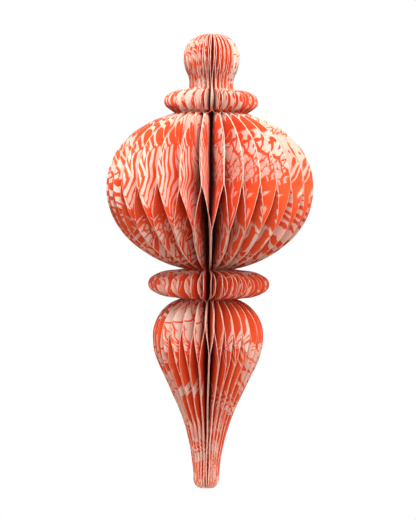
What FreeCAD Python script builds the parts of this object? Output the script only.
import FreeCAD, Part
import math
import os

import Sketcher

# A honeycomb paper ornament in the shape of a finial. It hangs, so its origin is the top of its axis, where
# a cord would take hold, and everything lies below that point. Lengths are millimetres, angles are degrees.
#
# Every sheet of paper is creased once beside the axis and gives two leaves. In the open bands a leaf is
# glued to the next sheet's leaf, and in the closed bands to its own other half, which makes the comb.

SIZES = (
    # the paper and how it is put together
    ("sheet_count", 32),
    ("paper_thickness", 0.3),
    ("glue_gap", 0.1),
    ("spine_setback", 1.5),
    ("spine_seam_angle", 8),
    ("trim_allowance", 2),
    # the knob at the top and the neck under it
    ("knob_crown_radius", 4.9),
    ("knob_radius", 16.7),
    ("knob_rise", 13.7),
    ("knob_turn_fall", 9.6),
    ("knob_fall", 16.1),
    ("neck_radius", 13),
    ("neck_length", 2.4),
    # the collar over the ball
    ("upper_collar_radius", 28),
    ("upper_collar_nose", 4.6),
    ("upper_collar_flat_radius", 16),
    ("upper_collar_edge", 6.5),
    ("upper_collar_rise", 7.7),
    ("upper_collar_fall", 7),
    # the ball
    ("ball_mouth_radius", 21.5),
    ("ball_shoulder_radius", 47.1),
    ("ball_shoulder_rise", 31),
    ("ball_radius", 61.5),
    ("ball_rise", 44.2),
    ("ball_hip_radius", 48.1),
    ("ball_hip_fall", 31),
    ("ball_fall", 48.2),
    ("waist_radius", 14.5),
    # the collar under the ball
    ("lower_collar_radius", 36.1),
    ("lower_collar_nose", 5),
    ("lower_collar_flat_radius", 22),
    ("lower_collar_edge", 7.95),
    ("lower_collar_rise", 8.9),
    ("lower_collar_fall", 8.9),
    # the bulb, its stem and the tip
    ("bulb_mouth_radius", 16.5),
    ("bulb_radius", 33),
    ("bulb_rise", 22.1),
    ("bulb_hip_radius", 29.3),
    ("bulb_hip_fall", 16.7),
    ("bulb_fall", 38.1),
    ("stem_top_radius", 19.2),
    ("stem_length", 47.2),
    ("tip_radius", 7.6),
    ("tip_flat_radius", 4.2),
    ("tip_round", 5.5),
    # how far round the nose of a collar runs, above and below its middle
    ("nose_turn", 55),
    # where the leaves part and meet again
    ("knob_split_fall", 4.3),
    ("band_turn", 1.2),
    ("ball_split_rise", 1.1),
    ("ball_join_fall", 24.2),
    ("bulb_split_rise", 4.7),
    ("bulb_join_fall", 18),
    ("collar_spread", 0.4),
)

# The heights that follow one another from the top of the axis to the tip.
HEIGHTS = (
    "knob_rise",
    "knob_fall",
    "neck_length",
    "upper_collar_rise",
    "upper_collar_fall",
    "ball_rise",
    "ball_fall",
    "lower_collar_rise",
    "lower_collar_fall",
    "bulb_rise",
    "bulb_fall",
    "stem_length",
    "tip_round",
)

# How far a sheet's two leaves stand apart: as far as the next sheet's leaves, or shut against each other.
OPEN = 1
CLOSED = 0

# The first sheet faces the front, which is the side of -Y.
FRONT_ANGLE = -90

# Half the angle that one sheet takes up, the radius of the inside of its crease, and the radius of the back
# of the crease. The creases fill a ring, so the paper's thickness and the number of sheets set its size.
HALF_PITCH = "180 deg / sizes.sheet_count"
CREASE = f"((sizes.glue_gap / 2 + sizes.paper_thickness) / sin({HALF_PITCH}))"
FOLD_BACK = f"({CREASE} - sizes.paper_thickness)"

# An uncut sheet runs this far from the axis, past the widest part of the outline.
REACH = "(sizes.ball_radius + sizes.trim_allowance)"


def cell(name):
    """The expression that reads one size."""
    return "sizes." + name


def depth_after(height):
    """The expression for the depth at the lower end of one of the heights."""
    last = HEIGHTS.index(height)
    return " + ".join(cell(name) for name in HEIGHTS[: last + 1])


def value(expression):
    """What an expression comes to now, as a plain number."""
    result = sheet.evalExpression(expression)
    return float(getattr(result, "Value", result))


def bind(sketch, constraint, name, expression):
    """Add one sized constraint to a sketch and let an expression drive it."""
    index = sketch.addConstraint(constraint)
    sketch.renameConstraint(index, name)
    sketch.setExpression("Constraints." + name, expression)


def arc_of(centre, first, last):
    """The arc between two points about a centre, and which of its ends the outline enters and leaves."""
    start = math.atan2(first[1] - centre[1], first[0] - centre[0])
    end = math.atan2(last[1] - centre[1], last[0] - centre[0])
    circle = Part.Circle(FreeCAD.Vector(*centre, 0), FreeCAD.Vector(0, 0, 1), math.dist(centre, first))
    turn = (end - start) % (2 * math.pi)
    if turn < math.pi:
        return Part.ArcOfCircle(circle, start, start + turn), (1, 2)
    return Part.ArcOfCircle(circle, end, end + 2 * math.pi - turn), (2, 1)


def level_centre(widest, other):
    """The centre of the arc that runs straight up and down at its first point and passes the other."""
    drop = widest[0] - other[0]
    rise = widest[1] - other[1]
    return (widest[0] - (rise * rise + drop * drop) / (2 * drop), widest[1])


def tangent_centre(touch, normal, other):
    """The centre, on the normal through the touching point, of the arc that also passes the other point."""
    chord = (other[0] - touch[0], other[1] - touch[1])
    along = chord[0] * normal[0] + chord[1] * normal[1]
    reach = (chord[0] ** 2 + chord[1] ** 2) / (2 * along)
    return (touch[0] + normal[0] * reach, touch[1] + normal[1] * reach)


def nose_end(collar):
    """Where the round nose of a collar ends: its radius, and how far above or below the middle."""
    nose = f"sizes.{collar}_nose"
    radius = f"sizes.{collar}_radius - {nose} * (1 - cos(sizes.nose_turn * 1 deg))"
    return radius, f"{nose} * sin(sizes.nose_turn * 1 deg)"


def outline_corners():
    """Each corner of the half outline as radius, depth and the kind of edge that leads on from it.

    A corner with no radius is on the axis, and one with no depth is level with its top.

    line        a straight edge
    to_widest   an arc that stands upright where it ends
    from_widest an arc that stands upright where it starts
    into_next   an arc that runs smoothly into the next edge
    from_last   an arc that runs smoothly out of the edge before
    """
    knob = depth_after("knob_rise")
    upper_collar = depth_after("upper_collar_rise")
    ball = depth_after("ball_rise")
    lower_collar = depth_after("lower_collar_rise")
    bulb = depth_after("bulb_rise")
    end = depth_after("tip_round")
    knob_turn_share = "sizes.knob_turn_fall / sizes.knob_fall"
    knob_turn_radius = f"sizes.knob_radius - (sizes.knob_radius - sizes.neck_radius) * {knob_turn_share}"
    upper_nose_radius, upper_nose_height = nose_end("upper_collar")
    lower_nose_radius, lower_nose_height = nose_end("lower_collar")
    return (
        (cell("knob_crown_radius"), None, "to_widest"),
        (cell("knob_radius"), knob, "from_widest"),
        (knob_turn_radius, knob + " + sizes.knob_turn_fall", "to_widest"),
        (cell("neck_radius"), depth_after("knob_fall"), "line"),
        (cell("neck_radius"), depth_after("neck_length"), "line"),
        (cell("upper_collar_flat_radius"), upper_collar + " - sizes.upper_collar_edge", "into_next"),
        (upper_nose_radius, f"{upper_collar} - {upper_nose_height}", "to_widest"),
        (cell("upper_collar_radius"), upper_collar, "from_widest"),
        (upper_nose_radius, f"{upper_collar} + {upper_nose_height}", "line"),
        (cell("ball_mouth_radius"), depth_after("upper_collar_fall"), "into_next"),
        (cell("ball_shoulder_radius"), ball + " - sizes.ball_shoulder_rise", "to_widest"),
        (cell("ball_radius"), ball, "from_widest"),
        (cell("ball_hip_radius"), ball + " + sizes.ball_hip_fall", "from_last"),
        (cell("waist_radius"), depth_after("ball_fall"), "line"),
        (cell("lower_collar_flat_radius"), lower_collar + " - sizes.lower_collar_edge", "into_next"),
        (lower_nose_radius, f"{lower_collar} - {lower_nose_height}", "to_widest"),
        (cell("lower_collar_radius"), lower_collar, "from_widest"),
        (lower_nose_radius, f"{lower_collar} + {lower_nose_height}", "from_last"),
        (cell("lower_collar_flat_radius"), lower_collar + " + sizes.lower_collar_edge", "line"),
        (cell("bulb_mouth_radius"), depth_after("lower_collar_fall"), "to_widest"),
        (cell("bulb_radius"), bulb, "from_widest"),
        (cell("bulb_hip_radius"), bulb + " + sizes.bulb_hip_fall", "line"),
        (cell("stem_top_radius"), depth_after("bulb_fall"), "from_last"),
        (cell("tip_radius"), depth_after("stem_length"), "from_widest"),
        (cell("tip_flat_radius"), end, "line"),
        (None, end, "line"),
        (None, None, "line"),
    )


def edge_centre(corners, places, index):
    """The centre of the arc that leaves the indexed corner, or None for a straight edge."""
    kind = corners[index][2]
    first = places[index]
    last = places[(index + 1) % len(places)]
    if kind == "to_widest":
        return level_centre(last, first)
    if kind == "from_widest":
        return level_centre(first, last)
    if kind == "into_next":
        centre = level_centre(places[index + 2], last)
        return tangent_centre(last, (centre[0] - last[0], centre[1] - last[1]), first)
    if kind == "from_last" and corners[index - 1][2] == "line":
        before = places[index - 1]
        return tangent_centre(first, (before[1] - first[1], first[0] - before[0]), last)
    if kind == "from_last":
        centre = level_centre(places[index - 1], first)
        return tangent_centre(first, (centre[0] - first[0], centre[1] - first[1]), last)
    return None


def draw_edges(sketch, corners, places):
    """Draw the outline's edges, and give the two ends of each in the order that the outline meets them."""
    ends = []
    for index in range(len(corners)):
        first = places[index]
        last = places[(index + 1) % len(places)]
        centre = edge_centre(corners, places, index)
        if centre is None:
            edge = Part.LineSegment(FreeCAD.Vector(*first, 0), FreeCAD.Vector(*last, 0))
            order = (1, 2)
        else:
            edge, order = arc_of(centre, first, last)
        sketch.addGeometry(edge, False)
        ends.append(order)
    return ends


def join_edges(sketch, corners, ends):
    """Join each edge to the next, smoothly where the corner says so."""
    for index, (_, _, kind) in enumerate(corners):
        following = (index + 1) % len(corners)
        smooth = kind == "into_next" or corners[following][2] == "from_last"
        joint = "Tangent" if smooth else "Coincident"
        sketch.addConstraint(
            Sketcher.Constraint(joint, index, ends[index][1], following, ends[following][0])
        )


def hold_corners(sketch, corners, places, ends):
    """Hold each corner at its radius and depth, and each arc upright at its widest point."""
    for index, (radius, depth, kind) in enumerate(corners):
        start, end = ends[index]
        if radius:
            across = Sketcher.Constraint("DistanceX", -1, 1, index, start, places[index][0])
            bind(sketch, across, f"radius_{index + 1:02d}", radius)
        else:
            sketch.addConstraint(Sketcher.Constraint("PointOnObject", index, start, -2))
        if depth:
            down = Sketcher.Constraint("DistanceY", -1, 1, index, start, places[index][1])
            bind(sketch, down, f"depth_{index + 1:02d}", depth)
        else:
            sketch.addConstraint(Sketcher.Constraint("PointOnObject", index, start, -1))
        if kind in ("to_widest", "from_widest"):
            widest = end if kind == "to_widest" else start
            sketch.addConstraint(Sketcher.Constraint("Horizontal", index, 3, index, widest))


def draw_outline(name):
    """The half outline as a held sketch: radius to the right of the axis, depth along it."""
    sketch = document.addObject("Sketcher::SketchObject", name)
    sketch.Placement.Rotation = FreeCAD.Rotation(FreeCAD.Vector(1, 0, 0), -90)
    corners = outline_corners()
    places = [(value(radius or "0"), value(depth or "0")) for radius, depth, _ in corners]
    ends = draw_edges(sketch, corners, places)
    join_edges(sketch, corners, ends)
    hold_corners(sketch, corners, places, ends)
    return sketch


def draw_fold(name, depth, spread):
    """A level section through a creased sheet, whose two leaves stand apart by the spread."""
    sketch = document.addObject("Sketcher::SketchObject", name)
    sketch.setExpression("Placement.Base.z", f"-({depth})")
    half_film = "sizes.glue_gap / 2"
    leaf = f"({half_film} + sizes.paper_thickness)"
    open_outer = f"({REACH} * tan({HALF_PITCH}) - {half_film} / cos({HALF_PITCH}))"
    open_inner = f"({REACH} * tan({HALF_PITCH}) - {leaf} / cos({HALF_PITCH}))"
    outer = f"{leaf} + {spread} * ({open_outer} - {leaf})"
    inner = f"{half_film} + {spread} * ({open_inner} - {half_film})"
    back_width = f"{FOLD_BACK} * tan({HALF_PITCH}) - {half_film} / cos({HALF_PITCH})"
    right = (
        ("back", FOLD_BACK, back_width),
        ("outer", REACH, outer),
        ("inner", REACH, inner),
    )
    ring = [(value(across), value(aside)) for _, across, aside in right]
    ring.append((value(CREASE), 0.0))
    ring.extend((across, -aside) for across, aside in reversed(ring[:3]))
    count = len(ring)
    for index in range(count):
        first = FreeCAD.Vector(*ring[index], 0)
        last = FreeCAD.Vector(*ring[(index + 1) % count], 0)
        sketch.addGeometry(Part.LineSegment(first, last), False)
    for index in range(count):
        sketch.addConstraint(Sketcher.Constraint("Coincident", index, 2, (index + 1) % count, 1))
    for index, (label, across, aside) in enumerate(right):
        distance = Sketcher.Constraint("DistanceX", -1, 1, index, 1, ring[index][0])
        bind(sketch, distance, label + "_radius", across)
        offset = Sketcher.Constraint("DistanceY", -1, 1, index, 1, ring[index][1])
        bind(sketch, offset, label + "_offset", aside)
        mirror = count - 1 - index
        sketch.addConstraint(Sketcher.Constraint("Symmetric", index, 1, mirror, 1, -1))
    crease = len(right)
    sketch.addConstraint(Sketcher.Constraint("PointOnObject", crease, 1, -1))
    bind(
        sketch,
        Sketcher.Constraint("DistanceX", -1, 1, crease, 1, ring[crease][0]),
        "crease_radius",
        CREASE,
    )
    return sketch


def fold_levels():
    """The depths at which the leaves change, each with how far they stand apart there."""
    knob = depth_after("knob_rise")
    upper_collar = depth_after("upper_collar_rise")
    ball = depth_after("ball_rise")
    lower_collar = depth_after("lower_collar_rise")
    bulb = depth_after("bulb_rise")
    spread = cell("collar_spread")
    return (
        ("-sizes.trim_allowance", OPEN),
        (knob + " + sizes.knob_split_fall", OPEN),
        (depth_after("neck_length"), CLOSED),
        (upper_collar + " + sizes.upper_collar_edge", CLOSED),
        (depth_after("upper_collar_fall") + " + sizes.band_turn", OPEN),
        (ball + " - sizes.ball_split_rise", OPEN),
        (ball + " + sizes.ball_join_fall", CLOSED),
        (depth_after("ball_fall"), CLOSED),
        (lower_collar + " - sizes.lower_collar_edge / 2", spread),
        (lower_collar + " + sizes.lower_collar_edge / 2", spread),
        (depth_after("lower_collar_fall"), CLOSED),
        (depth_after("lower_collar_fall") + " + sizes.band_turn", OPEN),
        (bulb + " - sizes.bulb_split_rise", OPEN),
        (bulb + " + sizes.bulb_join_fall", CLOSED),
        (depth_after("tip_round") + " + sizes.trim_allowance", CLOSED),
    )


def build_sheet_blank():
    """The creased sheet before it is cut: the leaves run past the outline on every side."""
    folds = [
        draw_fold(f"fold_at_level_{number:02d}", depth, spread)
        for number, (depth, spread) in enumerate(fold_levels(), start=1)
    ]
    blank = document.addObject("Part::Loft", "sheet_blank")
    blank.Sections = folds
    blank.Solid = True
    blank.Ruled = True
    return blank


def build_outline_cutter():
    """The half outline carried straight through both leaves: what the creased sheet is cut to."""
    outline = draw_outline("half_outline")
    cutter = document.addObject("Part::Extrusion", "outline_cutter")
    cutter.Base = outline
    cutter.Dir = FreeCAD.Vector(0, 1, 0)
    cutter.DirMode = "Custom"
    cutter.Solid = True
    side = f"{REACH} * tan({HALF_PITCH}) + sizes.trim_allowance"
    cutter.setExpression("LengthFwd", side)
    cutter.setExpression("LengthRev", side)
    return cutter


def build_sheets(blank, cutter):
    """The folded sheets: one is cut, and each place round the axis has a copy of it."""
    cut_sheet = document.addObject("Part::Common", "cut_sheet")
    cut_sheet.Base = blank
    cut_sheet.Tool = cutter
    sheets = []
    for number in range(int(value(cell("sheet_count")))):
        folded = document.addObject("Part::Compound", f"folded_sheet_{number + 1:02d}")
        folded.Links = [cut_sheet]
        folded.Label = folded.Name
        turn = f"{FRONT_ANGLE} deg + {number} * 360 deg / sizes.sheet_count"
        folded.setExpression("Placement.Rotation.Angle", turn)
        sheets.append(folded)
    return sheets


def build_spine():
    """The strip that is rolled round the hollow core and holds every crease."""
    length = f"({depth_after('tip_round')}) - 2 * sizes.spine_setback"
    outside = f"{FOLD_BACK} - sizes.glue_gap"
    roll = document.addObject("Part::Cylinder", "spine_roll")
    roll.setExpression("Radius", outside)
    roll.setExpression("Height", length)
    roll.setExpression("Angle", "360 deg - sizes.spine_seam_angle * 1 deg")
    core = document.addObject("Part::Cylinder", "spine_core")
    core.setExpression("Radius", f"{outside} - sizes.paper_thickness")
    core.setExpression("Height", length)
    strip = document.addObject("Part::Cut", "spine_strip")
    strip.Base = roll
    strip.Tool = core
    strip.Label = strip.Name
    strip.setExpression("Placement.Base.z", f"-({depth_after('tip_round')}) + sizes.spine_setback")
    return strip


def check(pieces):
    """Stop if any object failed, or if a piece isn't one sound solid."""
    for item in document.Objects:
        if "Invalid" in item.State or "Error" in item.State:
            raise RuntimeError(f"{item.Name} failed: {item.State}")
    for piece in pieces:
        if piece.Shape.isNull() or not piece.Shape.isValid():
            raise RuntimeError(f"{piece.Label} has no sound shape")
        if len(piece.Shape.Solids) != 1:
            raise RuntimeError(f"{piece.Label} has {len(piece.Shape.Solids)} solids")


document = FreeCAD.newDocument("honeycomb_ornament")
sheet = document.addObject("Spreadsheet::Sheet", "sizes")
for row, (alias, number) in enumerate(SIZES, start=1):
    sheet.set(f"A{row}", alias)
    sheet.set(f"B{row}", str(number))
    sheet.setAlias(f"B{row}", alias)
document.recompute()

pieces = build_sheets(build_sheet_blank(), build_outline_cutter())
pieces.append(build_spine())
document.recompute()
check(pieces)

os.makedirs("parts", exist_ok=True)
for piece in pieces:
    piece.Shape.exportStep(f"parts/{piece.Label}.step")
